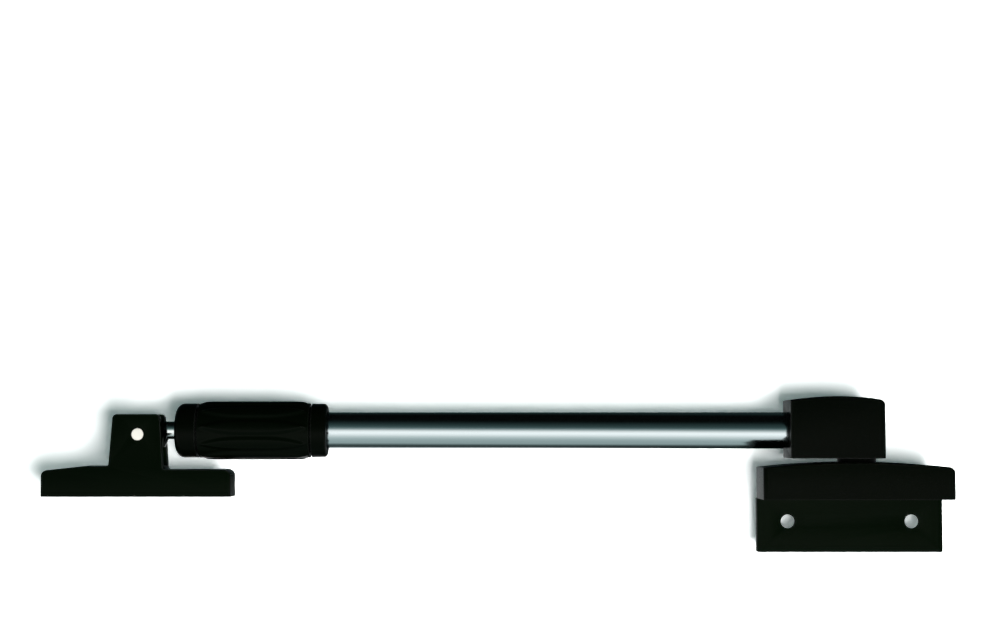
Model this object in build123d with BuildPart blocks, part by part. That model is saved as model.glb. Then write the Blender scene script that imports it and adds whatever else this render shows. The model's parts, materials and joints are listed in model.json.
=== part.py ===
from build123d import *
import math
import os

# Telescopic window stay. Millimetres, +Z up. The origin is on the swivel axis, level with the
# underside of the frame bracket. At rest the arm is closed and points along -X. A station is a
# distance from the swivel axis, measured outwards along the arm.

# Running and fixed fits
RUNNING_GAP = 0.05
FREE_GAP = 0.25
END_GAP = 0.1
FIXED_GAP = 0.02

# Arm
ARM_Z = 22.4
TUBE_DIAMETER = 12.0
TUBE_WALL = 1.0
ROD_DIAMETER = 6.0
GRIP_REAR = 174.0
GRIP_LENGTH = 49.6

# Angle plate
PLATE_THICKNESS = 3.0
BEND_RADIUS = 1.2
PLATE_LENGTH = 61.8
FLANGE_Y = 8.0
FLANGE_DROP = 18.0
FLANGE_CORNER_RADIUS = 0.6
FLANGE_HOLE_SPACING = 41.2
FLANGE_HOLE_DROP = 7.8
FIXING_HOLE_DIAMETER = 4.5
FIXING_SINK_DIAMETER = 9.3
SINK_ANGLE = 90.0

# Base cover
BASE_CENTRE_X = -1.0
COVER_LENGTH = 62.2
COVER_WIDTH = 19.0
COVER_HEIGHT = 12.1
COVER_CROWN = 1.7
COVER_WALL = 1.8
COVER_END_RADIUS = 2.5
COVER_CORNER_RADIUS = 1.4
COVER_EDGE_RADIUS = 0.5
COVER_LAND_RISE = 0.15

# Cover screws
COVER_SCREW_SPACING = 44.0
COVER_SCREW_DIAMETER = 3.0
COVER_SCREW_HEAD_DIAMETER = 5.8
COVER_SCREW_LENGTH = 8.0
COVER_SCREW_RECESS = 0.2
COVER_BOSS_WALL = 1.9
SCREW_SLOT_WIDTH = 0.8
SCREW_SLOT_DEPTH = 0.7

# Swivel
SHOULDER_DIAMETER = 6.0
BUSH_WALL = 1.2
NECK_DIAMETER = 12.7
NECK_FLANGE = 1.0
PIVOT_HEAD_DIAMETER = 9.4
PIVOT_HEAD_HEIGHT = 1.4
PIVOT_HEAD_RECESS = 0.3
PIVOT_SOCKET_WIDTH = 3.0
PIVOT_SOCKET_DEPTH = 1.0
PIVOT_THREAD_DIAMETER = 5.0
PIVOT_THREAD_LENGTH = 5.5
PIVOT_THREAD_CHAMFER = 0.6
WASHER_GAUGE = 0.3
WASHER_BOW = 0.35
WASHER_DIAMETER = 9.4
INSERT_DIAMETER = 10.0
INSERT_LENGTH = 6.5
INSERT_GROOVE_DEPTH = 0.4
INSERT_GROOVE_WIDTH = 1.0

# Swivel head
HEAD_INNER_X = 8.3
HEAD_OUTER_X = -22.8
HEAD_WIDTH = 16.4
HEAD_BELOW_ARM = 9.1
HEAD_ABOVE_ARM = 11.2
HEAD_CROWN = 1.3
HEAD_END_RADIUS = 2.3
HEAD_CORNER_RADIUS = 1.5
HEAD_EDGE_RADIUS = 0.7
SOCKET_END = 8.0
LOCK_PIN_STATION = 15.5
LOCK_PIN_DIAMETER = 2.5
LOCK_PIN_BORE = 1.3
LOCK_PIN_RISE = 2.0
LOCK_PIN_RECESS = 0.4
PLUG_LENGTH = 13.0

# Collet on the tube's outer end
SPIGOT_LENGTH = 10.0
COLLET_FLANGE = 1.5
THREAD_STEP = 0.5
THREAD_LENGTH = 14.5
FINGER_LENGTH = 12.5
FINGER_STEP = 0.7
FINGER_ANGLE = 7.0
FINGER_SLOT_WIDTH = 1.2
FINGER_SLOT_LENGTH = 10.5
CLAMP_PITCH = 1.5
CLAMP_TURN = 0.5

# Taper ring
RING_GRASP = 9.0
RING_TAIL = 3.8
KEY_WIDTH = 0.8
KEY_LENGTH = 4.0

# Twist grip
NOSE_WIDENING = 1.2
NOSE_LENGTH = 7.0
NOSE_WALL = 3.0
NOSE_RADIUS = 2.8
CORE_CLEARANCE = 0.7
CORE_WALL = 1.0
SLEEVE_WALL = 1.25
SLEEVE_GROOVE = 0.6
RIB_HEIGHT = 0.7
RIB_COUNT = 10
RIB_WIDTH = 4.2
RIB_PHASE = 7.0
RIB_END_MARGIN = 0.7
RIB_END_FALL = 4.0
REAR_RING_WALL = 1.1
REAR_RING_LENGTH = 5.0
REAR_RING_RADIUS = 1.2
REAR_RING_LIP = 2.2
NUT_LENGTH = 8.0
NUT_SETBACK = 3.5
NUT_GROOVE_DEPTH = 0.4
NUT_GROOVE_WIDTH = 1.2

# Rod and its guide
ROD_SHOW = 2.8
ROD_STUB = 1.0
ROD_CHAMFER = 0.5
EYE_TAPER = 1.4
EYE_THICKNESS = 3.1
EYE_HEIGHT = 8.5
EYE_TIP_LENGTH = 4.5
EYE_CORNER_RADIUS = 3.2
GUIDE_LENGTH = 10.0
GUIDE_GROOVE_DEPTH = 0.6
GUIDE_GROOVE_WIDTH = 1.5
CLIP_GAUGE = 0.7
CLIP_DIAMETER = 8.6
CLIP_GROOVE_DIAMETER = 5.0
CLIP_OPENING = 3.0

# Sash bracket and its pin
PIN_FROM_GRIP = 12.0
PIN_DIAMETER = 4.0
PIN_CHAMFER = 0.15
PIN_ABOVE_SEAT = 20.35
PIN_BELOW_TOP = 6.6
FOOT_LENGTH = 62.0
FOOT_WIDTH = 12.0
FOOT_THICKNESS = 8.9
FOOT_OFFSET = 0.5
FOOT_RISE = 1.1
FOOT_SLOPE = 14.0
FOOT_FALL = 1.5
FOOT_END_RADIUS = 2.5
FOOT_CORNER_RADIUS = 1.0
EAR_TOP_WIDTH = 15.2
EAR_FOOT_WIDTH = 17.7
EAR_CORNER_RADIUS = 1.5
EAR_FOOT_RADIUS = 0.8
SASH_HOLE_SPACING = 40.0

# Radii
tube_radius = TUBE_DIAMETER / 2
tube_bore_radius = tube_radius - TUBE_WALL
rod_radius = ROD_DIAMETER / 2
pin_radius = PIN_DIAMETER / 2
fixing_radius = FIXING_HOLE_DIAMETER / 2
fixing_sink_radius = FIXING_SINK_DIAMETER / 2
bush_radius = SHOULDER_DIAMETER / 2 + RUNNING_GAP + BUSH_WALL
thread_radius = tube_radius - THREAD_STEP
finger_root_radius = tube_radius - FINGER_STEP
core_bore_radius = tube_radius + CORE_CLEARANCE
core_radius = core_bore_radius + CORE_WALL
sleeve_radius = core_radius + SLEEVE_WALL
rib_crest_radius = sleeve_radius + RIB_HEIGHT
nose_radius = core_radius + NOSE_WIDENING
rear_ring_radius = core_radius + REAR_RING_WALL

# Extents of the cover, and of the plate's leg inside it
cover_x_min = BASE_CENTRE_X - COVER_LENGTH / 2
cover_x_max = BASE_CENTRE_X + COVER_LENGTH / 2
cover_centre_y = FLANGE_Y - COVER_WIDTH / 2
cover_screw_points = [
    (BASE_CENTRE_X - COVER_SCREW_SPACING / 2, cover_centre_y),
    (BASE_CENTRE_X + COVER_SCREW_SPACING / 2, cover_centre_y),
]
cover_screw_cone = (COVER_SCREW_HEAD_DIAMETER - COVER_SCREW_DIAMETER) / 2
leg_length = COVER_LENGTH - 2 * (COVER_WALL + END_GAP)
leg_y_min = FLANGE_Y - COVER_WIDTH + COVER_WALL + END_GAP
flange_y_max = FLANGE_Y + PLATE_THICKNESS

# Heights of the swivel's stack
pivot_shoulder_z = PIVOT_HEAD_RECESS + PIVOT_HEAD_HEIGHT
pivot_bore_depth = pivot_shoulder_z + END_GAP
land_z = COVER_HEIGHT + COVER_LAND_RISE
neck_top_z = land_z + NECK_FLANGE
head_bottom_z = ARM_Z - HEAD_BELOW_ARM
head_top_z = ARM_Z + HEAD_ABOVE_ARM
washer_bottom_z = neck_top_z + RUNNING_GAP
insert_bottom_z = washer_bottom_z + WASHER_BOW + WASHER_GAUGE + RUNNING_GAP
insert_top_z = insert_bottom_z + INSERT_LENGTH
lock_pin_bottom_z = head_bottom_z + LOCK_PIN_RECESS
lock_pin_top_z = ARM_Z + LOCK_PIN_RISE

# Stations along the arm
grip_front = GRIP_REAR + GRIP_LENGTH
nose_inner = grip_front - NOSE_WALL
nose_shoulder = grip_front - NOSE_LENGTH
collet_tip = nose_inner - RING_TAIL
finger_root = collet_tip - FINGER_LENGTH
thread_start = finger_root - THREAD_LENGTH
tube_outer_end = thread_start - COLLET_FLANGE
core_start = GRIP_REAR + REAR_RING_LENGTH - REAR_RING_LIP
sleeve_start = GRIP_REAR + REAR_RING_LENGTH + SLEEVE_GROOVE
sleeve_end = nose_shoulder - SLEEVE_GROOVE
sleeve_middle = (sleeve_start + sleeve_end) / 2
nut_start = thread_start + NUT_SETBACK
rod_start = SOCKET_END + PLUG_LENGTH + END_GAP
inner_clip = rod_start + ROD_STUB
guide_start = inner_clip + CLIP_GAUGE + END_GAP
guide_end = guide_start + GUIDE_LENGTH
outer_clip = guide_end + END_GAP
rod_neck = grip_front + ROD_SHOW
eye_start = rod_neck + EYE_TAPER
pin_station = grip_front + PIN_FROM_GRIP
eye_tip = pin_station + EYE_TIP_LENGTH
foot_station = pin_station + FOOT_OFFSET

# Heights of the eye and of the sash bracket: the rod's end is forged down from its upper side
eye_drop = EYE_HEIGHT / 2 - rod_radius
pin_z = ARM_Z - eye_drop
seat_z = pin_z - PIN_ABOVE_SEAT
foot_top_z = seat_z + FOOT_THICKNESS
ear_top_z = pin_z + PIN_BELOW_TOP
ear_gap = ROD_DIAMETER + 2 * FREE_GAP

# Travel of the taper ring, and the gap that it leaves round the fingers while the grip is loose
clamp_travel = CLAMP_PITCH * CLAMP_TURN
finger_slope = math.tan(math.radians(FINGER_ANGLE))
ring_gap = RUNNING_GAP + clamp_travel * finger_slope
ring_start = collet_tip - RING_GRASP
ring_step = collet_tip + clamp_travel + END_GAP
ring_end = nose_inner - END_GAP

# Axes and planes of the arm
ARM_AXIS = Axis((0, 0, ARM_Z), (-1, 0, 0))
ARM_SIDE = Plane(origin=(0, 0, ARM_Z), x_dir=(-1, 0, 0), z_dir=(0, 1, 0))
UNDERSIDE = Plane(origin=(0, 0, 0), x_dir=(1, 0, 0), z_dir=(0, 0, -1))
FLANGE_FACE = Plane(
    origin=(BASE_CENTRE_X, flange_y_max, -FLANGE_HOLE_DROP), x_dir=(-1, 0, 0), z_dir=(0, 1, 0)
)


def across_arm(station):
    """Plane square to the arm at a station, facing outwards, with its own up along +Z."""
    return Plane(origin=(-station, 0, ARM_Z), x_dir=(0, -1, 0), z_dir=(-1, 0, 0))


def facing_front(y):
    """Upright plane at a depth, facing -Y, with X and Z as its own directions."""
    return Plane.XZ.offset(-y)


def crown_height(x, x_min, x_max, top, rise, inset=0.0):
    """Height of a crowned top at x, for its outer skin or for a skin an inset further in."""
    half_length = (x_max - x_min) / 2
    radius = (half_length**2 + rise**2) / (2 * rise)
    reach = x - (x_min + x_max) / 2
    return top - radius + math.sqrt((radius - inset) ** 2 - reach**2)


def crowned_outline(x_min, x_max, bottom, top, rise, inset=0.0):
    """Side outline with a crowned top, drawn an inset further in than its outer skin."""
    middle = (x_min + x_max) / 2
    crown = [
        (x, crown_height(x, x_min, x_max, top, rise, inset))
        for x in (x_min + inset, middle, x_max - inset)
    ]
    with BuildLine() as outline:
        Polyline(crown[0], (crown[0][0], bottom), (crown[2][0], bottom), crown[2])
        ThreePointArc(crown[2], crown[1], crown[0])
    return outline.line


def crown_edges(block):
    """The two long edges between a crowned block's top and its front and back."""
    return block.edges().filter_by(GeomType.CIRCLE).sort_by(SortBy.LENGTH)[-2:]


def finger_radius(station):
    """Outer radius of the collet's fingers, which narrow towards their tips."""
    return finger_root_radius - (station - finger_root) * finger_slope


def rib_plane(index):
    """Plane that touches the sleeve's axis and faces out through one rib's middle."""
    turn = math.radians(RIB_PHASE + index * 360 / RIB_COUNT)
    outward = (0, -math.cos(turn), math.sin(turn))
    return Plane(origin=(-sleeve_middle, 0, ARM_Z), x_dir=(-1, 0, 0), z_dir=outward)


os.makedirs("parts", exist_ok=True)

# The angle's leg lies on the frame under the cover, and its flange hangs down the frame's face.
with BuildPart() as angle_plate:
    with BuildSketch(Plane.XY):
        with Locations((BASE_CENTRE_X, (leg_y_min + flange_y_max) / 2)):
            Rectangle(leg_length, flange_y_max - leg_y_min)
    extrude(amount=PLATE_THICKNESS)
    with BuildSketch(Plane.XY.offset(-FLANGE_DROP)):
        with Locations((BASE_CENTRE_X, (FLANGE_Y + flange_y_max) / 2)):
            Rectangle(PLATE_LENGTH, PLATE_THICKNESS)
    extrude(amount=FLANGE_DROP)
    flange_corners = angle_plate.edges().filter_by(Axis.Y).group_by(Axis.Z)[0]
    fillet(flange_corners, radius=FLANGE_CORNER_RADIUS)
    bend = angle_plate.edges().filter_by(Axis.X).group_by(Axis.Z)[-1].sort_by(Axis.Y)[-1]
    fillet(bend, radius=BEND_RADIUS)
    with Locations(FLANGE_FACE):
        with GridLocations(FLANGE_HOLE_SPACING, 0, 2, 1):
            CounterSinkHole(fixing_radius, fixing_sink_radius, 2 * PLATE_THICKNESS, SINK_ANGLE)
    with Locations(UNDERSIDE):
        CounterBoreHole(
            radius=bush_radius + FIXED_GAP,
            counter_bore_radius=PIVOT_HEAD_DIAMETER / 2 + FREE_GAP,
            counter_bore_depth=pivot_bore_depth,
            depth=2 * PLATE_THICKNESS,
        )
        with Locations((BASE_CENTRE_X, -cover_centre_y)):
            with GridLocations(COVER_SCREW_SPACING, 0, 2, 1):
                CounterSinkHole(
                    radius=COVER_SCREW_DIAMETER / 2 + END_GAP,
                    counter_sink_radius=COVER_SCREW_HEAD_DIAMETER / 2 + COVER_SCREW_RECESS,
                    depth=2 * PLATE_THICKNESS,
                    counter_sink_angle=SINK_ANGLE,
                )
angle_plate.part.label = "angle_plate"
export_step(angle_plate.part, "parts/angle_plate.step")

# The cover is a shell over the leg, with a hub for the bush and a boss over each screw. Its
# wall beside the flange stops short to let the leg pass under it.
with BuildPart() as base_cover:
    with BuildSketch(facing_front(FLANGE_Y)) as cover_side:
        add(crowned_outline(cover_x_min, cover_x_max, 0, COVER_HEIGHT, COVER_CROWN))
        make_face()
        inner_end = cover_side.vertices().sort_by(Axis.X)[-2:].sort_by(Axis.Y)[-1]
        fillet(inner_end, radius=COVER_END_RADIUS)
    extrude(amount=COVER_WIDTH)
    fillet(crown_edges(base_cover), radius=COVER_EDGE_RADIUS)
    with BuildSketch(Plane.XY):
        with Locations((BASE_CENTRE_X, cover_centre_y)):
            RectangleRounded(COVER_LENGTH, COVER_WIDTH, COVER_CORNER_RADIUS)
    extrude(amount=2 * COVER_HEIGHT, mode=Mode.INTERSECT)
    with BuildSketch(facing_front(FLANGE_Y - COVER_WALL)):
        add(crowned_outline(cover_x_min, cover_x_max, 0, COVER_HEIGHT, COVER_CROWN, COVER_WALL))
        make_face()
    extrude(amount=COVER_WIDTH - 2 * COVER_WALL, mode=Mode.SUBTRACT)
    with BuildSketch(Plane.XY):
        with Locations((BASE_CENTRE_X, FLANGE_Y)):
            Rectangle(leg_length + 2 * END_GAP, 2 * COVER_WALL)
    extrude(amount=PLATE_THICKNESS, mode=Mode.SUBTRACT)
    with BuildSketch(Plane.XY.offset(PLATE_THICKNESS)):
        Circle(NECK_DIAMETER / 2)
    extrude(amount=land_z - PLATE_THICKNESS)
    for x, y in cover_screw_points:
        roof_z = crown_height(x, cover_x_min, cover_x_max, COVER_HEIGHT, COVER_CROWN)
        with BuildSketch(Plane.XY.offset(PLATE_THICKNESS)):
            with Locations((x, y)):
                Circle(COVER_SCREW_DIAMETER / 2 + COVER_BOSS_WALL)
        extrude(amount=roof_z - COVER_WALL / 2 - PLATE_THICKNESS)
    with BuildSketch(Plane.XY.offset(PLATE_THICKNESS)):
        with Locations(*cover_screw_points):
            Circle(COVER_SCREW_DIAMETER / 2 + FIXED_GAP)
    extrude(amount=COVER_SCREW_LENGTH + END_GAP - PLATE_THICKNESS, mode=Mode.SUBTRACT)
    with BuildSketch(Plane.XY):
        Circle(bush_radius + FIXED_GAP)
    extrude(amount=2 * land_z, mode=Mode.SUBTRACT)
base_cover.part.label = "base_cover"
export_step(base_cover.part, "parts/base_cover.step")

# Two countersunk screws with slotted heads hold the cover down on the leg.
with BuildPart() as cover_screws:
    with Locations(UNDERSIDE.offset(-COVER_SCREW_RECESS)):
        with Locations(*[(x, -y) for x, y in cover_screw_points]):
            Cone(
                bottom_radius=COVER_SCREW_DIAMETER / 2,
                top_radius=COVER_SCREW_HEAD_DIAMETER / 2,
                height=cover_screw_cone,
                align=(Align.CENTER, Align.CENTER, Align.MAX),
            )
            Cylinder(
                radius=COVER_SCREW_DIAMETER / 2,
                height=COVER_SCREW_LENGTH - COVER_SCREW_RECESS,
                align=(Align.CENTER, Align.CENTER, Align.MAX),
            )
            Box(
                COVER_SCREW_HEAD_DIAMETER,
                SCREW_SLOT_WIDTH,
                2 * SCREW_SLOT_DEPTH,
                mode=Mode.SUBTRACT,
            )
cover_screws.part.label = "cover_screws"
export_step(cover_screws.part, "parts/cover_screws.step")

# The bush lines the plate and the cover's hub, and its flange carries the head.
with BuildPart() as pivot_bush:
    with BuildSketch(Plane.XY.offset(pivot_bore_depth)):
        Circle(bush_radius)
    extrude(amount=neck_top_z - pivot_bore_depth)
    with BuildSketch(Plane.XY.offset(land_z)):
        Circle(NECK_DIAMETER / 2)
    extrude(amount=NECK_FLANGE)
    with Locations((0, 0, neck_top_z)):
        Hole(SHOULDER_DIAMETER / 2 + RUNNING_GAP)
pivot_bush.part.label = "pivot_bush"
export_step(pivot_bush.part, "parts/pivot_bush.step")

# A bowed spring washer between the bush and the insert gives the swivel its drag.
with BuildPart() as bowed_washer:
    washer_radius = WASHER_DIAMETER / 2
    with BuildSketch(facing_front(washer_radius)):
        with BuildLine():
            lower = ThreePointArc(
                (-washer_radius, washer_bottom_z),
                (0, washer_bottom_z + WASHER_BOW),
                (washer_radius, washer_bottom_z),
            )
            upper = ThreePointArc(
                (-washer_radius, washer_bottom_z + WASHER_GAUGE),
                (0, washer_bottom_z + WASHER_BOW + WASHER_GAUGE),
                (washer_radius, washer_bottom_z + WASHER_GAUGE),
            )
            Line(lower @ 0, upper @ 0)
            Line(lower @ 1, upper @ 1)
        make_face()
    extrude(amount=WASHER_DIAMETER)
    with BuildSketch(Plane.XY.offset(neck_top_z)):
        Circle(washer_radius)
        Circle(SHOULDER_DIAMETER / 2 + FREE_GAP, mode=Mode.SUBTRACT)
    extrude(amount=insert_bottom_z - neck_top_z, mode=Mode.INTERSECT)
bowed_washer.part.label = "bowed_washer"
export_step(bowed_washer.part, "parts/bowed_washer.step")

# The shoulder screw turns in the bush with the head, tight against the insert.
with BuildPart() as pivot_screw:
    with BuildSketch(Plane.XY.offset(PIVOT_HEAD_RECESS)):
        Circle(PIVOT_HEAD_DIAMETER / 2)
    extrude(amount=PIVOT_HEAD_HEIGHT)
    with BuildSketch(Plane.XY.offset(pivot_shoulder_z)):
        Circle(SHOULDER_DIAMETER / 2)
    extrude(amount=insert_bottom_z - pivot_shoulder_z)
    with BuildSketch(Plane.XY.offset(insert_bottom_z)):
        Circle(PIVOT_THREAD_DIAMETER / 2)
    extrude(amount=PIVOT_THREAD_LENGTH)
    chamfer(pivot_screw.edges().group_by(Axis.Z)[-1], length=PIVOT_THREAD_CHAMFER)
    with BuildSketch(Plane.XY.offset(PIVOT_HEAD_RECESS)):
        RegularPolygon(radius=PIVOT_SOCKET_WIDTH / 2, side_count=6, major_radius=False)
    extrude(amount=PIVOT_SOCKET_DEPTH, mode=Mode.SUBTRACT)
pivot_screw.part.label = "pivot_screw"
export_step(pivot_screw.part, "parts/pivot_screw.step")

# The brass insert is moulded into the head, and two grooves key it there.
with BuildPart() as head_insert:
    with BuildSketch(Plane.XY.offset(insert_bottom_z)):
        Circle(INSERT_DIAMETER / 2)
    extrude(amount=INSERT_LENGTH)
    for share in (1, 2):
        groove_z = insert_bottom_z + share * INSERT_LENGTH / 3 - INSERT_GROOVE_WIDTH / 2
        with BuildSketch(Plane.XY.offset(groove_z)):
            Circle(INSERT_DIAMETER)
            Circle(INSERT_DIAMETER / 2 - INSERT_GROOVE_DEPTH, mode=Mode.SUBTRACT)
        extrude(amount=INSERT_GROOVE_WIDTH, mode=Mode.SUBTRACT)
    with Locations((0, 0, insert_top_z)):
        Hole(PIVOT_THREAD_DIAMETER / 2 + FIXED_GAP)
head_insert.part.label = "head_insert"
export_step(head_insert.part, "parts/head_insert.step")

# The head is a die-cast block with a crowned top, a socket for the tube and, from below, the
# pockets of the insert and of the lock pin.
with BuildPart() as head_housing:
    with BuildSketch(facing_front(HEAD_WIDTH / 2)) as head_side:
        add(crowned_outline(HEAD_OUTER_X, HEAD_INNER_X, head_bottom_z, head_top_z, HEAD_CROWN))
        make_face()
        inner_end = head_side.vertices().sort_by(Axis.X)[-2:].sort_by(Axis.Y)[-1]
        fillet(inner_end, radius=HEAD_END_RADIUS)
    extrude(amount=HEAD_WIDTH)
    fillet(crown_edges(head_housing), radius=HEAD_EDGE_RADIUS)
    with BuildSketch(Plane.XY.offset(head_bottom_z)) as head_plan:
        with Locations(((HEAD_INNER_X + HEAD_OUTER_X) / 2, 0)):
            Rectangle(HEAD_INNER_X - HEAD_OUTER_X, HEAD_WIDTH)
        fillet(head_plan.vertices().group_by(Axis.X)[-1], radius=HEAD_CORNER_RADIUS)
    extrude(amount=head_top_z, mode=Mode.INTERSECT)
    with BuildSketch(across_arm(SOCKET_END)):
        Circle(tube_radius + FIXED_GAP)
    extrude(amount=-HEAD_OUTER_X, mode=Mode.SUBTRACT)
    with BuildSketch(Plane.XY.offset(head_bottom_z)):
        Circle(INSERT_DIAMETER / 2 + FIXED_GAP)
    extrude(amount=insert_top_z - head_bottom_z, mode=Mode.SUBTRACT)
    with BuildSketch(Plane.XY.offset(head_bottom_z)):
        with Locations((-LOCK_PIN_STATION, 0)):
            Circle(LOCK_PIN_DIAMETER / 2 + FIXED_GAP)
    extrude(amount=HEAD_BELOW_ARM, mode=Mode.SUBTRACT)
head_housing.part.label = "head_housing"
export_step(head_housing.part, "parts/head_housing.step")

# The outer tube is drawn aluminium, cross-drilled on its underside for the lock pin.
with BuildPart() as outer_tube:
    with BuildSketch(across_arm(SOCKET_END)):
        Circle(tube_radius)
        Circle(tube_bore_radius, mode=Mode.SUBTRACT)
    extrude(amount=tube_outer_end - SOCKET_END)
    with BuildSketch(Plane.XY.offset(head_bottom_z)):
        with Locations((-LOCK_PIN_STATION, 0)):
            Circle(LOCK_PIN_DIAMETER / 2 + FIXED_GAP)
    extrude(amount=HEAD_BELOW_ARM, mode=Mode.SUBTRACT)
outer_tube.part.label = "outer_tube"
export_step(outer_tube.part, "parts/outer_tube.step")

# The plug stiffens the tube at the lock pin and stops the rod at the inner end.
with BuildPart() as tube_plug:
    with BuildSketch(across_arm(SOCKET_END)):
        Circle(tube_bore_radius - FIXED_GAP)
    extrude(amount=PLUG_LENGTH)
    with BuildSketch(Plane.XY.offset(head_bottom_z)):
        with Locations((-LOCK_PIN_STATION, 0)):
            Circle(LOCK_PIN_DIAMETER / 2 + FIXED_GAP)
    extrude(amount=lock_pin_top_z + END_GAP - head_bottom_z, mode=Mode.SUBTRACT)
tube_plug.part.label = "tube_plug"
export_step(tube_plug.part, "parts/tube_plug.step")

# The lock pin is a rolled spring pin, open along one side.
with BuildPart() as tube_lock_pin:
    with BuildSketch(Plane.XY.offset(lock_pin_bottom_z)):
        with Locations((-LOCK_PIN_STATION, 0)):
            Circle(LOCK_PIN_DIAMETER / 2)
            Circle(LOCK_PIN_BORE / 2, mode=Mode.SUBTRACT)
            with Locations((LOCK_PIN_DIAMETER / 2, 0)):
                Rectangle(LOCK_PIN_DIAMETER, LOCK_PIN_BORE / 3, mode=Mode.SUBTRACT)
    extrude(amount=lock_pin_top_z - lock_pin_bottom_z)
tube_lock_pin.part.label = "tube_lock_pin"
export_step(tube_lock_pin.part, "parts/tube_lock_pin.step")

# The collet body has a spigot in the tube, a flange, the clamp's thread at its full diameter
# and four fingers round the rod.
with BuildPart() as collet_body:
    with BuildSketch(ARM_SIDE):
        with BuildLine():
            Polyline(
                (tube_outer_end - SPIGOT_LENGTH, rod_radius + FREE_GAP),
                (tube_outer_end - SPIGOT_LENGTH, tube_bore_radius - FIXED_GAP),
                (tube_outer_end, tube_bore_radius - FIXED_GAP),
                (tube_outer_end, tube_radius),
                (thread_start, tube_radius),
                (thread_start, thread_radius),
                (finger_root, thread_radius),
                (finger_root, finger_radius(finger_root)),
                (collet_tip, finger_radius(collet_tip)),
                (collet_tip, rod_radius + RUNNING_GAP),
                (finger_root, rod_radius + RUNNING_GAP),
                (finger_root, rod_radius + FREE_GAP),
                close=True,
            )
        make_face()
    revolve(axis=ARM_AXIS)
    with BuildSketch(across_arm(collet_tip - FINGER_SLOT_LENGTH)):
        Rectangle(FINGER_SLOT_WIDTH, 2 * TUBE_DIAMETER)
        Rectangle(2 * TUBE_DIAMETER, FINGER_SLOT_WIDTH)
    extrude(amount=FINGER_LENGTH, mode=Mode.SUBTRACT)
collet_body.part.label = "collet_body"
export_step(collet_body.part, "parts/collet_body.step")

# The taper ring is pushed over the fingers by the grip. Two keys in the finger slots stop it
# from turning.
with BuildPart() as clamp_ring:
    ring_radius = core_bore_radius - 2 * RUNNING_GAP
    with BuildSketch(ARM_SIDE):
        with BuildLine():
            Polyline(
                (ring_start, finger_radius(ring_start) + ring_gap),
                (ring_start, ring_radius),
                (ring_end, ring_radius),
                (ring_end, rod_radius + FREE_GAP),
                (ring_step, rod_radius + FREE_GAP),
                (ring_step, finger_radius(ring_step) + ring_gap),
                close=True,
            )
        make_face()
    revolve(axis=ARM_AXIS)
    key_start = collet_tip - KEY_LENGTH - clamp_travel
    key_inner_radius = rod_radius + FREE_GAP
    key_outer_radius = (finger_radius(key_start) + ring_gap + ring_radius) / 2
    with BuildSketch(across_arm(key_start)):
        with PolarLocations((key_inner_radius + key_outer_radius) / 2, 2, start_angle=90):
            Rectangle(key_outer_radius - key_inner_radius, KEY_WIDTH)
    extrude(amount=KEY_LENGTH)
clamp_ring.part.label = "clamp_ring"
export_step(clamp_ring.part, "parts/clamp_ring.step")

# The grip's core is a barrel over the collet, closed at the front by the rounded nose collar.
with BuildPart() as grip_core:
    with BuildSketch(ARM_SIDE):
        with BuildLine():
            Polyline(
                (core_start, core_bore_radius),
                (core_start, core_radius),
                (nose_shoulder, core_radius),
                (nose_shoulder, nose_radius),
                (grip_front, nose_radius),
                (grip_front, rod_radius + FREE_GAP),
                (nose_inner, rod_radius + FREE_GAP),
                (nose_inner, core_bore_radius),
                close=True,
            )
        make_face()
    revolve(axis=ARM_AXIS)
    nose_edge = grip_core.edges().group_by(Axis.X)[0].sort_by(SortBy.RADIUS)[-1]
    fillet(nose_edge, radius=min(NOSE_RADIUS, NOSE_LENGTH / 2))
grip_core.part.label = "grip_core"
export_step(grip_core.part, "parts/grip_core.step")

# The ribbed sleeve is pushed over the core. Each rib is a long pad that narrows to its ends.
with BuildPart() as grip_sleeve:
    rib_reach = (sleeve_end - sleeve_start) / 2 - RIB_END_MARGIN
    for index in range(RIB_COUNT):
        with BuildSketch(rib_plane(index).offset(core_radius)):
            with BuildLine():
                ThreePointArc((-rib_reach, 0), (0, RIB_WIDTH / 2), (rib_reach, 0))
                ThreePointArc((rib_reach, 0), (0, -RIB_WIDTH / 2), (-rib_reach, 0))
            make_face()
        extrude(amount=rib_crest_radius)
    with BuildSketch(across_arm(sleeve_start)):
        Circle(sleeve_radius)
    extrude(amount=sleeve_end - sleeve_start)
    with BuildSketch(ARM_SIDE):
        with BuildLine():
            crest_start = (sleeve_start + RIB_END_FALL, rib_crest_radius)
            crest_end = (sleeve_end - RIB_END_FALL, rib_crest_radius)
            low_start = (sleeve_start, sleeve_radius)
            low_end = (sleeve_end, sleeve_radius)
            Polyline(low_end, (sleeve_end, 0), (sleeve_start, 0), low_start)
            Line(crest_start, crest_end)
            TangentArc(crest_start, low_start, tangent=(-1, 0))
            TangentArc(crest_end, low_end, tangent=(1, 0))
        make_face()
    revolve(axis=ARM_AXIS, mode=Mode.INTERSECT)
    with BuildSketch(across_arm(sleeve_start)):
        Circle(core_radius + FIXED_GAP)
    extrude(amount=sleeve_end - sleeve_start, mode=Mode.SUBTRACT)
grip_sleeve.part.label = "grip_sleeve"
export_step(grip_sleeve.part, "parts/grip_sleeve.step")

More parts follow.
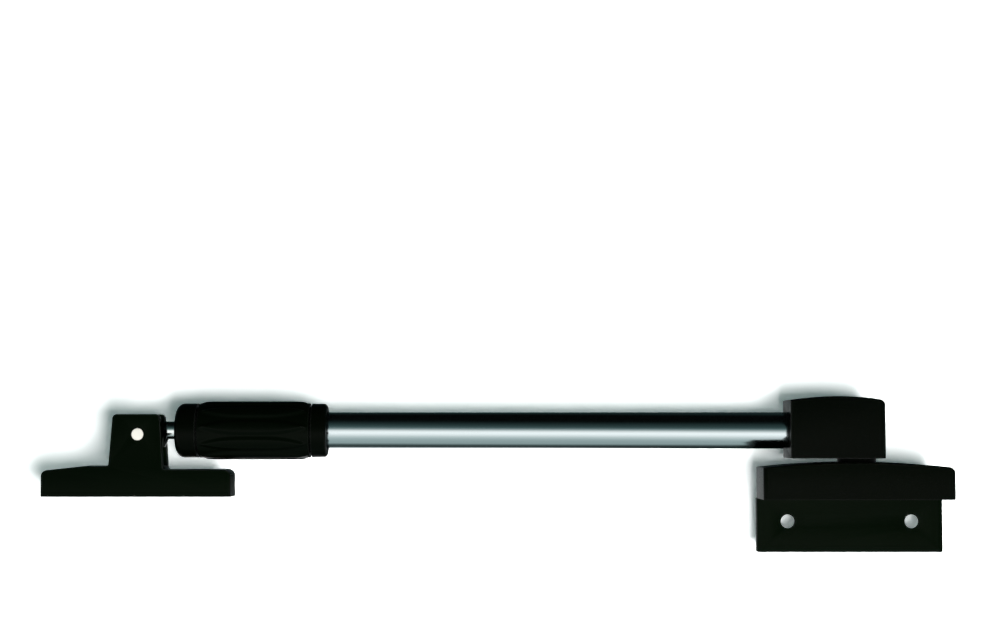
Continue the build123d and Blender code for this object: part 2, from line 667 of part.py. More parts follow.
# The rear ring holds the sleeve on the core and closes the grip round the tube.
with BuildPart() as grip_rear_ring:
    with BuildSketch(across_arm(GRIP_REAR)):
        Circle(rear_ring_radius)
        Circle(tube_radius + FREE_GAP, mode=Mode.SUBTRACT)
    extrude(amount=REAR_RING_LENGTH)
    with BuildSketch(across_arm(core_start)):
        Circle(core_radius + FIXED_GAP)
    extrude(amount=REAR_RING_LIP, mode=Mode.SUBTRACT)
    rear_edge = grip_rear_ring.edges().group_by(Axis.X)[-1].sort_by(SortBy.RADIUS)[-1]
    fillet(rear_edge, radius=min(REAR_RING_RADIUS, REAR_RING_LENGTH / 2))
grip_rear_ring.part.label = "grip_rear_ring"
export_step(grip_rear_ring.part, "parts/grip_rear_ring.step")

# The clamp nut is a brass thread insert fixed in the core.
with BuildPart() as clamp_nut:
    nut_radius = core_bore_radius - FIXED_GAP
    with BuildSketch(across_arm(nut_start)):
        Circle(nut_radius)
        Circle(thread_radius + RUNNING_GAP, mode=Mode.SUBTRACT)
    extrude(amount=NUT_LENGTH)
    for share in (1, 2):
        with BuildSketch(across_arm(nut_start + share * NUT_LENGTH / 3 - NUT_GROOVE_WIDTH / 2)):
            Circle(2 * nut_radius)
            Circle(nut_radius - NUT_GROOVE_DEPTH, mode=Mode.SUBTRACT)
        extrude(amount=NUT_GROOVE_WIDTH, mode=Mode.SUBTRACT)
clamp_nut.part.label = "clamp_nut"
export_step(clamp_nut.part, "parts/clamp_nut.step")

# The guide slides in the tube and lets the rod turn in it.
with BuildPart() as guide_piston:
    guide_radius = tube_bore_radius - RUNNING_GAP
    with BuildSketch(across_arm(guide_start)):
        Circle(guide_radius)
        Circle(rod_radius + RUNNING_GAP, mode=Mode.SUBTRACT)
    extrude(amount=GUIDE_LENGTH)
    for share in (1, 2):
        groove_start = guide_start + share * GUIDE_LENGTH / 3 - GUIDE_GROOVE_WIDTH / 2
        with BuildSketch(across_arm(groove_start)):
            Circle(2 * guide_radius)
            Circle(guide_radius - GUIDE_GROOVE_DEPTH, mode=Mode.SUBTRACT)
        extrude(amount=GUIDE_GROOVE_WIDTH, mode=Mode.SUBTRACT)
guide_piston.part.label = "guide_piston"
export_step(guide_piston.part, "parts/guide_piston.step")

# Two open snap rings hold the guide between them on the rod.
with BuildPart() as rod_clips:
    for clip_station in (inner_clip, outer_clip):
        with BuildSketch(across_arm(clip_station)):
            Circle(CLIP_DIAMETER / 2)
            Circle(CLIP_GROOVE_DIAMETER / 2 + FIXED_GAP, mode=Mode.SUBTRACT)
            with Locations((0, -CLIP_DIAMETER / 2)):
                Rectangle(CLIP_OPENING, CLIP_DIAMETER, mode=Mode.SUBTRACT)
        extrude(amount=CLIP_GAUGE)
rod_clips.part.label = "rod_clips"
export_step(rod_clips.part, "parts/rod_clips.step")

# The rod is round in the tube. Its outer end is flattened into an eye for the hinge pin.
with BuildPart() as inner_rod:
    with BuildSketch(across_arm(rod_start)):
        Circle(rod_radius)
    extrude(amount=rod_neck - rod_start)
    chamfer(inner_rod.edges().group_by(Axis.X)[-1], length=ROD_CHAMFER)
    for clip_station in (inner_clip, outer_clip):
        with BuildSketch(across_arm(clip_station - FIXED_GAP)):
            Circle(ROD_DIAMETER)
            Circle(CLIP_GROOVE_DIAMETER / 2, mode=Mode.SUBTRACT)
        extrude(amount=CLIP_GAUGE + 2 * FIXED_GAP, mode=Mode.SUBTRACT)
    with BuildSketch(across_arm(rod_neck)):
        Circle(rod_radius)
    with BuildSketch(across_arm(eye_start)):
        with Locations((0, -eye_drop)):
            Rectangle(EYE_THICKNESS, EYE_HEIGHT)
    loft()
    with BuildSketch(ARM_SIDE):
        with Locations(((eye_start + eye_tip) / 2, -eye_drop)):
            Rectangle(eye_tip - eye_start, EYE_HEIGHT)
    extrude(amount=EYE_THICKNESS / 2, both=True)
    eye_corners = inner_rod.edges().filter_by(Axis.Y).group_by(Axis.X)[0]
    fillet(eye_corners, radius=min(EYE_CORNER_RADIUS, 0.45 * EYE_HEIGHT))
    with BuildSketch(ARM_SIDE):
        with Locations((pin_station, -eye_drop)):
            Circle(pin_radius + RUNNING_GAP)
    extrude(amount=EYE_THICKNESS, both=True, mode=Mode.SUBTRACT)
inner_rod.part.label = "inner_rod"
export_step(inner_rod.part, "parts/inner_rod.step")

# The sash bracket is a T-shaped die-casting: a foot with two screw holes, and two ears that
# hold the pin.
with BuildPart() as sash_bracket:
    bracket_back = facing_front(FOOT_WIDTH / 2).shift_origin((-foot_station, FOOT_WIDTH / 2, 0))
    with BuildSketch(bracket_back) as bracket_side:
        with BuildLine():
            Polyline(
                (-FOOT_LENGTH / 2, seat_z),
                (FOOT_LENGTH / 2, seat_z),
                (FOOT_LENGTH / 2, foot_top_z),
                (EAR_FOOT_WIDTH / 2, foot_top_z),
                (EAR_TOP_WIDTH / 2, ear_top_z),
                (-EAR_TOP_WIDTH / 2, ear_top_z),
                (-EAR_FOOT_WIDTH / 2, foot_top_z + FOOT_RISE),
                (FOOT_SLOPE - FOOT_LENGTH / 2, foot_top_z + FOOT_RISE),
                (-FOOT_LENGTH / 2, foot_top_z + FOOT_RISE - FOOT_FALL),
                close=True,
            )
        make_face()
        fillet(bracket_side.vertices().group_by(Axis.Y)[-1], radius=EAR_CORNER_RADIUS)
        wing_tops = bracket_side.vertices().filter_by_position(
            Axis.Y, foot_top_z - FOOT_FALL, foot_top_z + FOOT_RISE
        )
        wing_tops = wing_tops.sort_by(Axis.X)
        fillet([wing_tops[0], wing_tops[-1]], radius=FOOT_END_RADIUS)
        wing_tops = bracket_side.vertices().filter_by_position(
            Axis.Y, foot_top_z - FOOT_FALL, foot_top_z + FOOT_RISE
        )
        ear_feet = wing_tops.sort_by(lambda vertex: abs(vertex.X))[:2]
        fillet(ear_feet, radius=EAR_FOOT_RADIUS)
    extrude(amount=FOOT_WIDTH)
    with BuildSketch(Plane.XY.offset(seat_z)):
        with Locations((-foot_station, 0)):
            RectangleRounded(FOOT_LENGTH, FOOT_WIDTH, FOOT_CORNER_RADIUS)
    extrude(amount=ear_top_z, mode=Mode.INTERSECT)
    with BuildSketch(Plane.XY.offset(foot_top_z + FOOT_RISE)):
        with Locations((-foot_station, 0)):
            Rectangle(2 * EAR_FOOT_WIDTH, ear_gap)
    extrude(amount=2 * PIN_ABOVE_SEAT, mode=Mode.SUBTRACT)
    with BuildSketch(ARM_SIDE):
        with Locations((pin_station, -eye_drop)):
            Circle(pin_radius + FIXED_GAP)
    extrude(amount=FOOT_WIDTH, both=True, mode=Mode.SUBTRACT)
    with Locations((-foot_station, 0, foot_top_z)):
        with GridLocations(SASH_HOLE_SPACING, 0, 2, 1):
            CounterSinkHole(fixing_radius, fixing_sink_radius, 2 * FOOT_THICKNESS, SINK_ANGLE)
sash_bracket.part.label = "sash_bracket"
export_step(sash_bracket.part, "parts/sash_bracket.step")

# The hinge pin is pressed into the ears, and the eye turns on it.
with BuildPart() as hinge_pin:
    with BuildSketch(ARM_SIDE.offset(END_GAP - FOOT_WIDTH / 2)):
        with Locations((pin_station, -eye_drop)):
            Circle(pin_radius)
    extrude(amount=FOOT_WIDTH - 2 * END_GAP)
    chamfer(hinge_pin.edges().filter_by(GeomType.CIRCLE), length=PIN_CHAMFER)
hinge_pin.part.label = "hinge_pin"
export_step(hinge_pin.part, "parts/hinge_pin.step")
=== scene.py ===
import json
import math

import bmesh
import bpy
from mathutils import Matrix, Vector

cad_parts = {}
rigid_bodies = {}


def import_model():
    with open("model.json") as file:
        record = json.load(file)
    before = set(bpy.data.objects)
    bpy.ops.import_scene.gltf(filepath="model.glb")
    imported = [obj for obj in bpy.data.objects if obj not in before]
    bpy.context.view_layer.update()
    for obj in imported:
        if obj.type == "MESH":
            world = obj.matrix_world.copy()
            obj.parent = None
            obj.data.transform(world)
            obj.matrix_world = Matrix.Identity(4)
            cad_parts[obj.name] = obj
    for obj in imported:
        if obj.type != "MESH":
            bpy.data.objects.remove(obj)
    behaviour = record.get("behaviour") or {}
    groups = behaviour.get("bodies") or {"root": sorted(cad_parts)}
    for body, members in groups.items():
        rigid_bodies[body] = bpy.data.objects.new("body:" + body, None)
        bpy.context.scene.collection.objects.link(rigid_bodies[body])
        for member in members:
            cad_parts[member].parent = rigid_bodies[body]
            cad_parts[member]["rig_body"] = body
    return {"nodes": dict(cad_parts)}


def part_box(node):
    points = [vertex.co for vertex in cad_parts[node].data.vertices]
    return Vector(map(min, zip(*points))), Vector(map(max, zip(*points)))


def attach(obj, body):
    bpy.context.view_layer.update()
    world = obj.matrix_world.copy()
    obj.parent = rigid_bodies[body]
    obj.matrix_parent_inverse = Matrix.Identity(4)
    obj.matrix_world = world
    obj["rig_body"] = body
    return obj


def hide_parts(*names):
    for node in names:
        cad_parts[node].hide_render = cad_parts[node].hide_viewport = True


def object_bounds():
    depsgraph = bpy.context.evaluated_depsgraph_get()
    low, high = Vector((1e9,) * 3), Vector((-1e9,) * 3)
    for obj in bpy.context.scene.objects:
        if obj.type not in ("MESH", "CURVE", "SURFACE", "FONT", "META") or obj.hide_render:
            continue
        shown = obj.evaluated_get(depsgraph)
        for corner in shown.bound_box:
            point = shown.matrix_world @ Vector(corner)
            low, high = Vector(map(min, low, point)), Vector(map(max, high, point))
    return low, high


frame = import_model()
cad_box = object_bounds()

# Angle plate: bent steel plate, powder coated black. Its leg lies on the window frame under the
# cover, and its flange hangs down the frame's face with two countersunk screw holes.
MILLIMETRE = 0.001
MERGE_DISTANCE = 0.002 * MILLIMETRE
FLAT_ANGLE = math.radians(0.5)
EDGE_ANGLE = math.radians(28)
EDGE_SEGMENTS = 3
GRAIN_DETAIL = 3.0
PATCH_DETAIL = 4.0
RUB_SAMPLES = 4
RUB_FROM = 0.99
RUB_FULLY = 0.84
RUB_LIGHTER = 0.03


def add_node(tree, kind, sockets=None, **settings):
    """Adds a node with its settings, and sets each given input or links it to an output."""
    node = tree.nodes.new(kind)
    for name, value in settings.items():
        setattr(node, name, value)
    for socket, source in (sockets or {}).items():
        if isinstance(source, bpy.types.NodeSocket):
            tree.links.new(source, node.inputs[socket])
        else:
            node.inputs[socket].default_value = source
    return node


def mask_between(tree, value, start, end):
    """Mask that goes from 0 where a value is at the start to 1 where it is at the end."""
    span = {"Value": value, "From Min": start, "From Max": end}
    return add_node(tree, "ShaderNodeMapRange", span).outputs["Result"]


def product(tree, first, second):
    """Product of two values or masks."""
    factors = {0: first, 1: second}
    return add_node(tree, "ShaderNodeMath", factors, operation="MULTIPLY").outputs["Value"]


def blend(tree, mask, base, cover):
    """Colour that goes from the base to the cover as the mask rises."""
    colors = {"Factor": mask, 6: base, 7: cover}
    return add_node(tree, "ShaderNodeMix", colors, data_type="RGBA").outputs[2]


def new_group(name, defaults, results):
    """Empty node group with number sockets: its tree, what it is given and what it puts out."""
    tree = bpy.data.node_groups.new(name, "ShaderNodeTree")
    for title, value in defaults.items():
        socket = tree.interface.new_socket(title, in_out="INPUT", socket_type="NodeSocketFloat")
        socket.default_value = value
    for title in results:
        tree.interface.new_socket(title, in_out="OUTPUT", socket_type="NodeSocketFloat")
    return tree, add_node(tree, "NodeGroupInput").outputs, add_node(tree, "NodeGroupOutput").inputs


def grain_group():
    """Node group: fine grain on Object coordinates, as a height and a slow variation."""
    defaults = {"Size": 0.4, "Stretch": 1.0, "Patch Size": 12.0}
    tree, given, results = new_group("fine_grain", defaults, ("Height", "Patches"))
    place = add_node(tree, "ShaderNodeTexCoord")
    stretch = add_node(
        tree, "ShaderNodeCombineXYZ", {"X": given["Stretch"], "Y": 1.0, "Z": 1.0}
    )
    squeeze = add_node(
        tree, "ShaderNodeVectorMath",
        {0: place.outputs["Object"], 1: stretch.outputs["Vector"]}, operation="MULTIPLY"
    )
    for size, result, detail in (
        ("Size", "Height", GRAIN_DETAIL), ("Patch Size", "Patches", PATCH_DETAIL)
    ):
        scale = add_node(
            tree, "ShaderNodeMath", {0: 1.0 / MILLIMETRE, 1: given[size]}, operation="DIVIDE"
        )
        noise = add_node(tree, "ShaderNodeTexNoise", {
            "Vector": squeeze.outputs["Vector"],
            "Scale": scale.outputs["Value"],
            "Detail": detail,
        })
        tree.links.new(noise.outputs["Fac"], results[result])
    return tree


def edge_group():
    """Node group: a mask of the edges that hands and tools rub, broken up by slow patches."""
    defaults = {"Width": 0.5, "Patches": 0.5}
    tree, given, results = new_group("rubbed_edges", defaults, ("Rubbed",))
    reach = product(tree, given["Width"], MILLIMETRE)
    rounded = add_node(tree, "ShaderNodeBevel", {"Radius": reach}, samples=RUB_SAMPLES)
    surface = add_node(tree, "ShaderNodeNewGeometry")
    likeness = add_node(
        tree, "ShaderNodeVectorMath",
        {0: rounded.outputs["Normal"], 1: surface.outputs["Normal"]}, operation="DOT_PRODUCT"
    )
    turned = mask_between(tree, likeness.outputs["Value"], RUB_FROM, RUB_FULLY)
    tree.links.new(product(tree, turned, given["Patches"]), results["Rubbed"])
    return tree


fine_grain = grain_group()
rubbed_edges = edge_group()


def finish_material(
    name, color, roughness, metallic=0.0, specular=0.5, grain=0.4, stretch=1.0,
    relief=0.02, patch=12.0, tint=0.15, spread=0.1, worn=0.0
):
    """Material with grain as relief, slow patches in its colour, and rubbed edges."""
    material = bpy.data.materials.new(name)
    material.use_nodes = True
    tree = material.node_tree
    shader = tree.nodes["Principled BSDF"]
    shader.inputs["Metallic"].default_value = metallic
    shader.inputs["Specular IOR Level"].default_value = specular
    texture = add_node(
        tree, "ShaderNodeGroup", {"Size": grain, "Stretch": stretch, "Patch Size": patch},
        node_tree=fine_grain
    ).outputs
    darker = [channel * (1 - tint) for channel in color] + [1]
    lighter = [channel * (1 + tint) for channel in color] + [1]
    shade = blend(tree, texture["Patches"], darker, lighter)
    if worn:
        edges = add_node(
            tree, "ShaderNodeGroup", {"Patches": texture["Patches"]}, node_tree=rubbed_edges
        )
        bare = [channel + RUB_LIGHTER * worn for channel in color] + [1]
        shade = blend(tree, edges.outputs["Rubbed"], shade, bare)
    rough = add_node(tree, "ShaderNodeMapRange", {
        "Value": texture["Height"],
        "To Min": roughness - spread,
        "To Max": roughness + spread,
    })
    bump = add_node(tree, "ShaderNodeBump", {
        "Height": texture["Height"],
        "Distance": relief * MILLIMETRE,
    })
    tree.links.new(shade, shader.inputs["Base Color"])
    tree.links.new(rough.outputs["Result"], shader.inputs["Roughness"])
    tree.links.new(bump.outputs["Normal"], shader.inputs["Normal"])
    return material


def finish_piece(mesh, name, material, node, bevel=0.0):
    """Makes a bmesh the shown piece of a CAD node: smooth, its edges softened, on its body."""
    bmesh.ops.recalc_face_normals(mesh, faces=mesh.faces)
    for face in mesh.faces:
        face.smooth = True
    data = bpy.data.meshes.new(name)
    mesh.to_mesh(data)
    mesh.free()
    data.materials.append(material)
    piece = bpy.data.objects.new(name, data)
    bpy.context.scene.collection.objects.link(piece)
    if bevel:
        soften = piece.modifiers.new("soft_edges", "BEVEL")
        soften.width = bevel * MILLIMETRE
        soften.segments = EDGE_SEGMENTS
        soften.limit_method = "ANGLE"
        soften.angle_limit = EDGE_ANGLE
        soften.harden_normals = True
    else:
        data.set_sharp_from_angle(angle=EDGE_ANGLE)
    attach(piece, frame["nodes"][node]["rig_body"])
    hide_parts(node)


def finish_copy(node, name, material, bevel=0.0):
    """Finishes a copy of a CAD node's mesh, with its triangles merged into whole flat faces."""
    mesh = bmesh.new()
    mesh.from_mesh(frame["nodes"][node].data)
    bmesh.ops.remove_doubles(mesh, verts=mesh.verts, dist=MERGE_DISTANCE)
    bmesh.ops.dissolve_limit(mesh, angle_limit=FLAT_ANGLE, verts=mesh.verts, edges=mesh.edges)
    finish_piece(mesh, name, material, node, bevel)


black_coating = finish_material(
    "black_powder_coating", color=(0.0006, 0.0018, 0.0005), roughness=0.36, specular=0.03,
    grain=0.35, relief=0.03, worn=1.0
)
finish_copy("angle_plate", "coated_angle", black_coating, bevel=0.35)

# Base cover: shell of black moulded plastic that sits over the plate's leg, with a crowned top
# and soft edges. Two screws hold it from below.
black_moulding = finish_material(
    "black_moulded_plastic", color=(0.0005, 0.0010, 0.0004), roughness=0.3, specular=0.03,
    grain=0.25, relief=0.012, worn=0.4
)
finish_copy("base_cover", "moulded_cover", black_moulding, bevel=0.3)

# Cover screws: two zinc plated countersunk screws with slotted heads, driven from below through
# the plate's leg into the cover.
bright_plating = finish_material(
    "bright_zinc_plating", color=(0.62, 0.64, 0.64), roughness=0.28, metallic=1.0,
    grain=0.3, relief=0.004, tint=0.1
)
finish_copy("cover_screws", "slotted_screws", bright_plating, bevel=0.1)

# Pivot bush: black plastic bearing pressed through the cover. Its flange is the short neck that
# carries the head.
finish_copy("pivot_bush", "neck_bush", black_moulding, bevel=0.1)

# Bowed washer, shoulder screw and brass insert: the hidden stack that holds the head on the bush
# and gives the swivel its drag.
spring_temper = finish_material(
    "blued_spring_steel", color=(0.20, 0.21, 0.24), roughness=0.35, metallic=1.0,
    grain=0.4, relief=0.003, tint=0.2
)
turned_brass = finish_material(
    "turned_brass", color=(0.72, 0.52, 0.24), roughness=0.3, metallic=1.0,
    grain=0.2, relief=0.004
)
finish_copy("bowed_washer", "drag_washer", spring_temper)
finish_copy("pivot_screw", "shoulder_screw", bright_plating, bevel=0.15)
finish_copy("head_insert", "brass_insert", turned_brass, bevel=0.1)

# Head: die-cast block, coated black, with a crowned top. It turns on the bush, and its socket
# holds the tube.
black_enamel = finish_material(
    "black_cast_enamel", color=(0.0005, 0.0009, 0.0004), roughness=0.34, specular=0.03,
    grain=0.4, relief=0.03, worn=1.0
)
finish_copy("head_housing", "cast_head", black_enamel, bevel=0.35)

# Outer tube: drawn aluminium tube, satin anodised, with a fine lengthwise grain. It is pushed
# into the head's socket.
satin_aluminium = finish_material(
    "satin_drawn_aluminium", color=(0.60, 0.66, 0.67), roughness=0.18, metallic=1.0,
    grain=0.25, stretch=0.02, relief=0.003, patch=8.0, tint=0.05, spread=0.05
)
finish_copy("outer_tube", "satin_tube", satin_aluminium, bevel=0.1)

# Plug and lock pin: a white nylon plug stiffens the tube's inner end, and a rolled spring pin
# holds head, tube and plug together.
natural_nylon = finish_material(
    "natural_nylon", color=(0.74, 0.72, 0.64), roughness=0.5, grain=0.4, relief=0.01, tint=0.05
)
finish_copy("tube_plug", "nylon_plug", natural_nylon)
finish_copy("tube_lock_pin", "rolled_pin", spring_temper)

# Collet body and taper ring: the turned collet grips the rod with its slotted fingers when the
# ring is pushed over them.
turned_aluminium = finish_material(
    "turned_aluminium", color=(0.58, 0.59, 0.60), roughness=0.35, metallic=1.0,
    grain=0.15, stretch=6.0, relief=0.004
)
finish_copy("collet_body", "slotted_collet", turned_aluminium, bevel=0.08)
finish_copy("clamp_ring", "taper_ring", natural_nylon)

# Grip core: barrel of black moulded plastic that turns on the tube's end. Its rounded front
# collar shows, and the sleeve hides the rest.
finish_copy("grip_core", "nose_barrel", black_moulding)

# Grip sleeve: soft black rubber, moulded with long lens-shaped pads that bulge between narrow
# valleys, and pushed over the barrel.
PAD_COUNT = 10
PAD_PHASE = math.radians(7)
PAD_WIDTH = 4.2 * MILLIMETRE
PAD_EDGE = 1.5 * MILLIMETRE
PAD_END_MARGIN = 0.7 * MILLIMETRE
PAD_END_FALL = 2.6 * MILLIMETRE
PAD_END_POWER = 3
PAD_HEIGHT = 0.7 * MILLIMETRE
PAD_CROWN = 0.2
SLEEVE_STEPS = 240
SLEEVE_CUTS = 60
SLEEVE_EDGE = 0.3 * MILLIMETRE

black_rubber = finish_material(
    "black_grip_rubber", color=(0.0005, 0.0012, 0.0004), roughness=0.3, specular=0.035,
    grain=0.5, relief=0.012, patch=6.0, spread=0.08, worn=0.3
)
sleeve_low, sleeve_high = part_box("grip_sleeve")
sleeve_middle = (sleeve_low + sleeve_high) / 2
sleeve_reach = (sleeve_high.x - sleeve_low.x) / 2
sleeve_radius = (sleeve_high.z - sleeve_low.z) / 2 - PAD_HEIGHT
bore_radius = min(
    math.hypot(vertex.co.y, vertex.co.z - sleeve_middle.z)
    for vertex in frame["nodes"]["grip_sleeve"].data.vertices
)


def soft_step(value):
    """Rises gently from 0 to 1 as the value does."""
    value = min(max(value, 0.0), 1.0)
    return value * value * (3 - 2 * value)


def pad_rise(along, turn):
    """Height of the pads at a place along the sleeve, from its middle, and a turn round it."""
    pitch = math.tau / PAD_COUNT
    off_centre = abs((turn - PAD_PHASE + pitch / 2) % pitch - pitch / 2) * sleeve_radius
    reach = 1 - abs(along / (sleeve_reach - PAD_END_MARGIN)) ** PAD_END_POWER
    if reach <= 0:
        return 0.0
    half_width = PAD_WIDTH / 2 * reach
    fall = max(0.0, 1 - (sleeve_reach - abs(along)) / PAD_END_FALL)
    crown = 1 - PAD_CROWN * min(1.0, off_centre / half_width) ** 2
    side = soft_step((half_width - off_centre) / PAD_EDGE + 0.5)
    return PAD_HEIGHT * (1 - fall * fall) * crown * side


sleeve = bmesh.new()
outer = [sleeve.verts.new((end, 0, sleeve_radius)) for end in (-sleeve_reach, sleeve_reach)]
inner = [sleeve.verts.new((end, 0, bore_radius)) for end in (-sleeve_reach, sleeve_reach)]
sleeve.edges.new(inner)
sleeve.edges.new((outer[0], inner[0]))
sleeve.edges.new((outer[1], inner[1]))
bmesh.ops.subdivide_edges(sleeve, edges=[sleeve.edges.new(outer)], cuts=SLEEVE_CUTS)
bmesh.ops.spin(
    sleeve, geom=sleeve.verts[:] + sleeve.edges[:], cent=(0, 0, 0), axis=(1, 0, 0),
    dvec=(0, 0, 0), angle=math.tau, steps=SLEEVE_STEPS, use_merge=True
)
bmesh.ops.recalc_face_normals(sleeve, faces=sleeve.faces)
rims = [edge for edge in sleeve.edges if edge.calc_face_angle() > EDGE_ANGLE]
bmesh.ops.bevel(
    sleeve, geom=rims, offset=SLEEVE_EDGE, segments=EDGE_SEGMENTS, profile=0.5, affect="EDGES",
    material=-1
)
for vertex in sleeve.verts:
    radius = math.hypot(vertex.co.y, vertex.co.z)
    if radius > (sleeve_radius + bore_radius) / 2:
        rise = pad_rise(vertex.co.x, math.atan2(vertex.co.z, -vertex.co.y))
        vertex.co.yz = vertex.co.yz * (1 + rise / radius)
bmesh.ops.translate(sleeve, vec=(sleeve_middle.x, 0, sleeve_middle.z), verts=sleeve.verts)
finish_piece(sleeve, "ribbed_sleeve", black_rubber, "grip_sleeve")

# Rear ring: collar of black moulded plastic on the end of the barrel. It holds the sleeve and
# closes the grip round the tube.
finish_copy("grip_rear_ring", "rear_collar", black_moulding)

# Clamp nut: turned brass insert, pressed into the barrel. Its thread runs on the collet's, so
# that a turn of the grip moves the taper ring.
finish_copy("clamp_nut", "brass_nut", turned_brass, bevel=0.08)

# Guide and clips: the white nylon guide slides in the tube and keeps the rod in line. Two spring
# steel snap rings hold it on the rod.
finish_copy("guide_piston", "nylon_guide", natural_nylon)
finish_copy("rod_clips", "snap_rings", spring_temper)

# Inner rod: bright plated steel rod, polished where it slides. Its outer end is flattened into an
# eye at the forge, and its colour there is painted near black as painted shade between the ears.
EYE_LENGTH = 13.9 * MILLIMETRE
EYE_FADE = 0.6 * MILLIMETRE
EYE_PAINTED_SHADE = (0.012, 0.014, 0.012, 1)

polished_plating = finish_material(
    "polished_plating", color=(0.72, 0.76, 0.74), roughness=0.18, metallic=1.0,
    grain=0.3, stretch=0.05, relief=0.002, tint=0.06, spread=0.04
)
rod_tree = polished_plating.node_tree
rod_color = rod_tree.nodes["Principled BSDF"].inputs["Base Color"]
rod_place = add_node(rod_tree, "ShaderNodeTexCoord")
rod_parts = add_node(
    rod_tree, "ShaderNodeSeparateXYZ", {"Vector": rod_place.outputs["Object"]}
)
shoulder_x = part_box("inner_rod")[0].x + EYE_LENGTH
# Painted shade: the eye's colour blends to near black, for the shadow between the ears.
eye_shade_mask = mask_between(rod_tree, rod_parts.outputs["X"], shoulder_x, shoulder_x - EYE_FADE)
shaded_eye_colour = blend(rod_tree, eye_shade_mask, rod_color.links[0].from_socket, EYE_PAINTED_SHADE)
rod_tree.links.new(shaded_eye_colour, rod_color)
finish_copy("inner_rod", "bright_rod", polished_plating, bevel=0.2)

# Sash bracket: T-shaped die-casting, coated black. Two ears hold the rod's eye, and the foot has
# two countersunk holes for the screws into the sash.
finish_copy("sash_bracket", "cast_bracket", black_coating, bevel=0.4)

# Hinge pin: zinc plated steel pin, pressed through the ears and the rod's eye. Its ends are
# freshly cropped and matt.
pale_plating = finish_material(
    "pale_zinc_plating", color=(0.79, 0.75, 0.68), roughness=0.6, metallic=0.35,
    grain=0.3, relief=0.01, tint=0.06
)
finish_copy("hinge_pin", "ear_pin", pale_plating, bevel=0.1)

# Studio: the object hangs in front of a white card, clear of the bracket as it rolls, and over a
# white floor. Both are white where no shadow falls, and the card shows from its front only.
FLOOR_DROP = 0.45
CARD_GAP = 0.0125
STAGE_SIZE = 6.0
GLOW_FROM = 0.36
GLOW_FULLY = 0.75
WHITE = (1, 1, 1, 1)
COOL_WHITE = (0.7, 1.0, 0.97, 1)
lowest, highest = cad_box
middle = (lowest + highest) / 2


def paper(name, whiteness, glow, tint):
    """White paper: matt, clear from behind, and glowing for the camera, more so far away."""
    material = bpy.data.materials.new(name)
    material.use_nodes = True
    tree = material.node_tree
    tree.nodes.remove(tree.nodes["Principled BSDF"])
    matt = add_node(tree, "ShaderNodeBsdfDiffuse", {"Color": [whiteness] * 3 + [1]})
    place = add_node(tree, "ShaderNodeTexCoord")
    away = add_node(
        tree, "ShaderNodeVectorMath", {0: place.outputs["Object"], 1: middle},
        operation="DISTANCE"
    )
    rising = add_node(tree, "ShaderNodeMapRange", {
        "Value": away.outputs["Value"],
        "From Min": GLOW_FROM,
        "From Max": GLOW_FULLY,
        "To Min": glow,
    })
    rays = add_node(tree, "ShaderNodeLightPath")
    strength = product(tree, rays.outputs["Is Camera Ray"], rising.outputs["Result"])
    shine = add_node(tree, "ShaderNodeEmission", {"Color": tint, "Strength": strength})
    front = add_node(
        tree, "ShaderNodeAddShader", {0: matt.outputs["BSDF"], 1: shine.outputs["Emission"]}
    )
    clear = add_node(tree, "ShaderNodeBsdfTransparent")
    facing = add_node(tree, "ShaderNodeNewGeometry")
    sides = add_node(tree, "ShaderNodeMixShader", {
        "Fac": facing.outputs["Backfacing"],
        1: front.outputs["Shader"],
        2: clear.outputs["BSDF"],
    })
    tree.links.new(sides.outputs["Shader"], tree.nodes["Material Output"].inputs["Surface"])
    return material


def stage_sheet(name, material, turn, place):
    """A large flat sheet of the studio, turned and placed in its mesh."""
    mesh = bmesh.new()
    bmesh.ops.create_grid(mesh, x_segments=1, y_segments=1, size=STAGE_SIZE / 2)
    bmesh.ops.rotate(mesh, cent=(0, 0, 0), matrix=turn, verts=mesh.verts)
    bmesh.ops.translate(mesh, vec=place, verts=mesh.verts)
    data = bpy.data.meshes.new(name)
    mesh.to_mesh(data)
    mesh.free()
    data.materials.append(material)
    sheet = bpy.data.objects.new(name, data)
    bpy.context.scene.collection.objects.link(sheet)
    return sheet


floor_paper = paper("pale_floor_paper", whiteness=0.8, glow=0.85, tint=WHITE)
card_paper = paper("pale_card_paper", whiteness=1.4, glow=0.02, tint=COOL_WHITE)
upright = Matrix.Rotation(math.radians(90), 3, "X")
floor = stage_sheet(
    "pale_floor", floor_paper, Matrix.Identity(3), (middle.x, middle.y, lowest.z - FLOOR_DROP)
)
floor.visible_glossy = False
card = stage_sheet("pale_card", card_paper, upright, (middle.x, highest.y + CARD_GAP, 0))
card.visible_diffuse = False
card.visible_shadow = False
card.visible_glossy = False

# World: a pale room with a dark ceiling. Metal and gloss see the dark ceiling, a bright band low
# down, the pale floor under it, the card's shaded foot close behind the object, and a dark flag
# that stands far behind on the right.
ROOM_PEAK = 1.6
ROOM_HEIGHTS = (
    (-1.0, (0.35, 0.45, 0.45)),
    (-0.75, (0.6, 0.7, 0.7)),
    (-0.35, (1.6, 1.6, 1.6)),
    (-0.18, (1.4, 1.4, 1.4)),
    (0.06, (0.2, 0.3, 0.3)),
    (0.35, (0.04, 0.08, 0.08)),
    (0.75, (0.0, 0.0, 0.0)),
)
ROOM_LIGHT = (0.17, 0.23, 0.22, 1)
FOOT_BEHIND = (0.05, 0.35)
FOOT_BELOW = (-0.45, -0.65)
FOOT_COLOR = (0.05, 0.07, 0.07, 1)
FLAG_BEHIND = (0.4, 0.8)
FLAG_LEFT_EDGE = (0.0, 0.12)
FLAG_RIGHT_EDGE = (0.52, 0.42)
FLAG_COLOR = (0.01, 0.02, 0.02, 1)

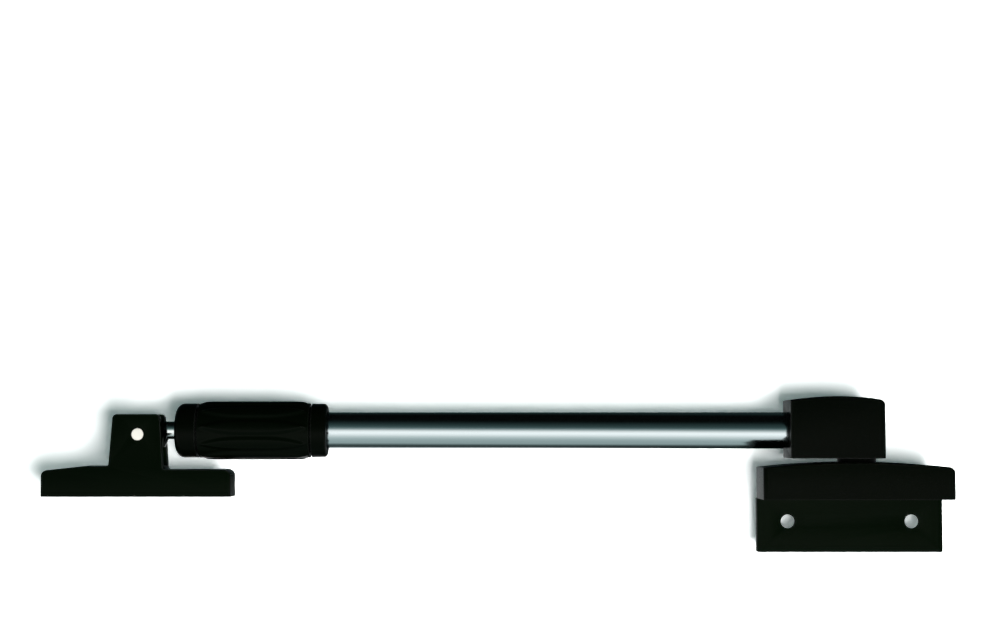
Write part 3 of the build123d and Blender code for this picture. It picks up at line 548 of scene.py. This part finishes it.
world = bpy.data.worlds.new("studio_world")
bpy.context.scene.world = world
world.use_nodes = True
room = world.node_tree
room_rays = add_node(room, "ShaderNodeLightPath").outputs
room_place = add_node(room, "ShaderNodeTexCoord")
toward = add_node(
    room, "ShaderNodeSeparateXYZ", {"Vector": room_place.outputs["Generated"]}
).outputs
bands = add_node(room, "ShaderNodeValToRGB", {"Fac": mask_between(room, toward["Z"], -1.0, 1.0)})
bands.color_ramp.interpolation = "B_SPLINE"
stops = bands.color_ramp.elements
for level, color in ROOM_HEIGHTS:
    stop = stops.new((level + 1) / 2)
    stop.color = [channel / ROOM_PEAK for channel in color] + [1]
stops.remove(stops[-1])
stops.remove(stops[0])
bright = add_node(
    room, "ShaderNodeVectorMath", {0: bands.outputs["Color"], "Scale": ROOM_PEAK},
    operation="SCALE"
)
foot_shade = product(
    room, mask_between(room, toward["Y"], *FOOT_BEHIND),
    mask_between(room, toward["Z"], *FOOT_BELOW)
)
footed = blend(room, foot_shade, bright.outputs["Vector"], FOOT_COLOR)
flag_width = product(
    room, mask_between(room, toward["X"], *FLAG_LEFT_EDGE),
    mask_between(room, toward["X"], *FLAG_RIGHT_EDGE)
)
flag_shade = product(room, mask_between(room, toward["Y"], *FLAG_BEHIND), flag_width)
flagged = blend(room, flag_shade, footed, FLAG_COLOR)
lit = blend(room, room_rays["Is Glossy Ray"], ROOM_LIGHT, flagged)
shown = blend(room, room_rays["Is Camera Ray"], lit, WHITE)
room.links.new(shown, room.nodes["Background"].inputs["Color"])

# Lamp: one soft box, low in front on the right. It lights the object and throws the soft shadow
# on the card.
KEY_PLACE = Vector((0.15, -0.64, -0.125))
KEY_WIDTH = 0.26
KEY_HEIGHT = 0.25
KEY_WATTS = 7.6
key_lamp = bpy.data.lights.new("key_box", "AREA")
key_lamp.shape = "RECTANGLE"
key_lamp.size = KEY_WIDTH
key_lamp.size_y = KEY_HEIGHT
key_lamp.energy = KEY_WATTS
key_box = bpy.data.objects.new("key_box", key_lamp)
key_box.location = middle + KEY_PLACE
key_box.rotation_euler = KEY_PLACE.to_track_quat("Z", "Y").to_euler()
key_box.visible_camera = False
key_box.visible_glossy = False
bpy.context.scene.collection.objects.link(key_box)

# Camera: level with the arm, square to it, and tipped up so that the object sits in the lower
# half of the picture.
CAMERA_X = -0.1173
CAMERA_DISTANCE = 0.605
CAMERA_HEIGHT = 0.023
CAMERA_LIFT = math.radians(3.515)
CAMERA_LENS = 66
CAMERA_SENSOR = 36
camera = bpy.data.objects.new("camera", bpy.data.cameras.new("camera"))
camera.data.lens = CAMERA_LENS
camera.data.sensor_width = CAMERA_SENSOR
camera.data.sensor_fit = "HORIZONTAL"
camera.location = (CAMERA_X, -CAMERA_DISTANCE, CAMERA_HEIGHT)
camera.rotation_euler = (math.radians(90) + CAMERA_LIFT, 0, 0)
bpy.context.scene.collection.objects.link(camera)
bpy.context.scene.camera = camera
bpy.context.scene.view_settings.view_transform = "Standard"
